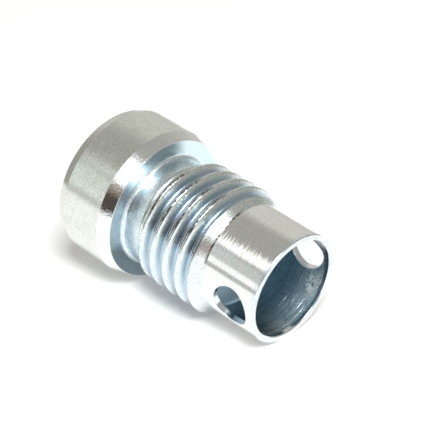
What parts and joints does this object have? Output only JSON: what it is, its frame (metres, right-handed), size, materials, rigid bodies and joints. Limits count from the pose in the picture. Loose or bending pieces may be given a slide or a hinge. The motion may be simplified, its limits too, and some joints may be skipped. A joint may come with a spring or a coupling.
{
  "type": "adapter bolt",
  "caption": "Round-headed adapter bolt with a relief neck, coarse outside thread and a thin cross-drilled spigot tube around a blind bore.",
  "frame": {"origin": "centre of the head's rear face, on the axis of the bolt; the bolt stands on its head", "axes": "+Z along the axis from the head to the mouth of the tube; X along the cross hole"},
  "size_m": [0.0188, 0.0188, 0.0291],
  "materials": {
    "zinc_steel": "bright zinc plated, turned"
  },
  "bodies": {
    "root": {"bolt_body": "zinc_steel"}
  },
  "joints": []
}
